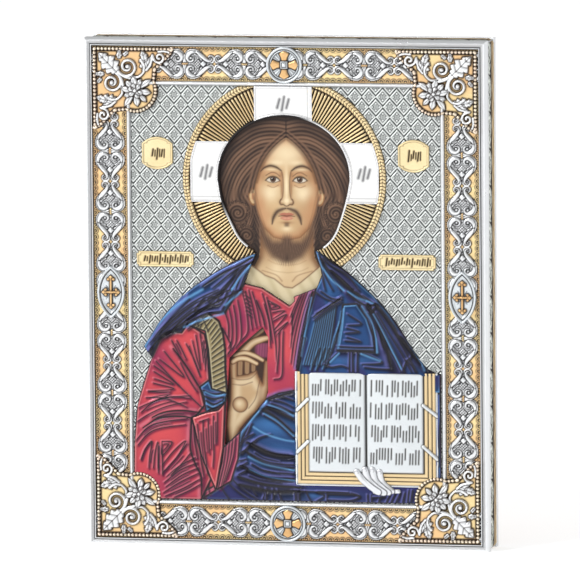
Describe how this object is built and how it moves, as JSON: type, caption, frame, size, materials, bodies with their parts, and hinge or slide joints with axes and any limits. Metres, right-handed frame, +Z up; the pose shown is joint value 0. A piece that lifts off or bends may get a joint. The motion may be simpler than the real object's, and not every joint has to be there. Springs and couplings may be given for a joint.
{
  "type": "icon panel",
  "caption": "Wooden panel icon with a pressed silver-gilt cover: enamelled robed figure with open book, halo, painted head and hand, scroll border with corner ornaments.",
  "frame": {"origin": "middle of the underside, halfway between the back and the most forward relief", "axes": "+X to the viewer's right, +Y to the back, +Z up; the picture faces -Y"},
  "size_m": [0.2, 0.028, 0.25],
  "materials": {
    "board_wood": "varnished",
    "painted_picture": "painted, satin varnish",
    "border_silver": "polished silver with gilt ground and dark patina",
    "field_silver": "satin silver",
    "halo_gilt": "gilt with white enamel arms",
    "robe_enamel": "translucent red and blue enamel over silver",
    "book_silver": "silver pages with gilt edges",
    "ornament_gilt": "gilt and silver with dark recesses",
    "medallion_silver": "silver with gilt cross",
    "plaque_gilt": "satin gilt"
  },
  "bodies": {
    "root": {"backing_board": "board_wood", "painted_panel": "painted_picture", "frame_border": "border_silver", "field_plate": "field_silver", "halo": "halo_gilt", "robe": "robe_enamel", "book_with_hand": "book_silver", "corner_ornament_1": "ornament_gilt", "corner_ornament_2": "ornament_gilt", "corner_ornament_3": "ornament_gilt", "corner_ornament_4": "ornament_gilt", "round_medallion_top": "medallion_silver", "round_medallion_bottom": "medallion_silver", "oval_medallion_left": "medallion_silver", "oval_medallion_right": "medallion_silver", "plaque_upper_left": "plaque_gilt", "plaque_upper_right": "plaque_gilt", "plaque_lower_left": "plaque_gilt", "plaque_lower_right": "plaque_gilt"}
  },
  "joints": []
}
